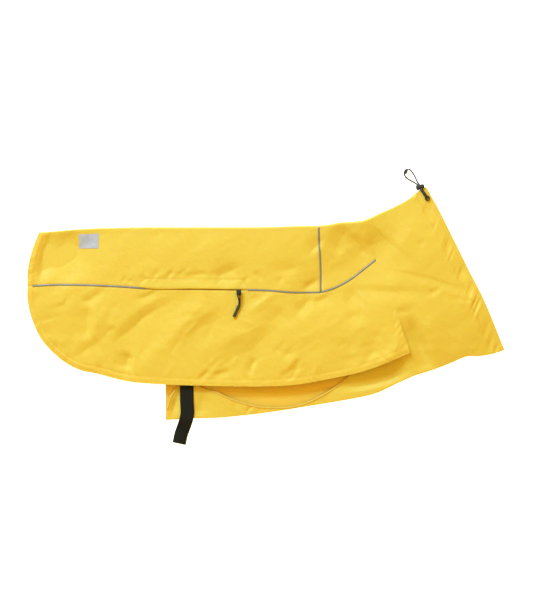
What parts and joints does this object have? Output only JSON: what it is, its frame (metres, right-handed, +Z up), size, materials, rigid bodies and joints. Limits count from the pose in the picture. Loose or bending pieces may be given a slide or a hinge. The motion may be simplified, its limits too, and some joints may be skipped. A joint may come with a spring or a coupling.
{
  "type": "dog raincoat",
  "caption": "Dog raincoat of coated nylon with reflective piping, a zipped harness opening, belly strap and drawcord neck, folded along its spine and laid flat.",
  "frame": {"origin": "middle of the plan's extents, on the surface that the coat lies on", "axes": "+X from the tail towards the neck, +Y from the belly towards the spine, +Z up out of the surface"},
  "size_m": [0.7062, 0.4093, 0.0181],
  "materials": {
    "shell": "coated nylon, slightly shiny, creased",
    "piping": "grey reflective piping",
    "reflective": "silver reflective film",
    "binding": "beige woven tape",
    "webbing": "black webbing and zip tape",
    "black_plastic": "black moulded plastic",
    "elastic_cord": "dark braided elastic"
  },
  "bodies": {
    "coat": {"back_panel": "shell", "yoke": "shell", "side_near": "shell", "side_far": "shell", "neck": "shell", "neck_casing": "shell", "chest_belly": "shell", "opening_welt": "shell", "opening_zip": "webbing", "piping_tail": "piping", "piping_front": "piping", "piping_vertical": "piping", "piping_curve": "piping", "leg_binding": "binding", "belly_strap": "webbing", "reflective_patch": "reflective", "zip_slider": "black_plastic", "eyelet": "black_plastic", "cord_lock": "black_plastic", "cord_end": "black_plastic", "drawcord_stem_a": "elastic_cord", "drawcord_stem_b": "elastic_cord", "drawcord_loop_a": "elastic_cord", "drawcord_loop_b": "elastic_cord"},
    "zip_pull": {"zip_pull": "black_plastic"}
  },
  "joints": [
    {"name": "pull_swing", "type": "hinge", "parent": "coat", "child": "zip_pull", "pos_m": [-0.04018, 0.03322, 0.01613], "axis": [-1, 0, 0], "range_deg": [0, 160]}
  ]
}
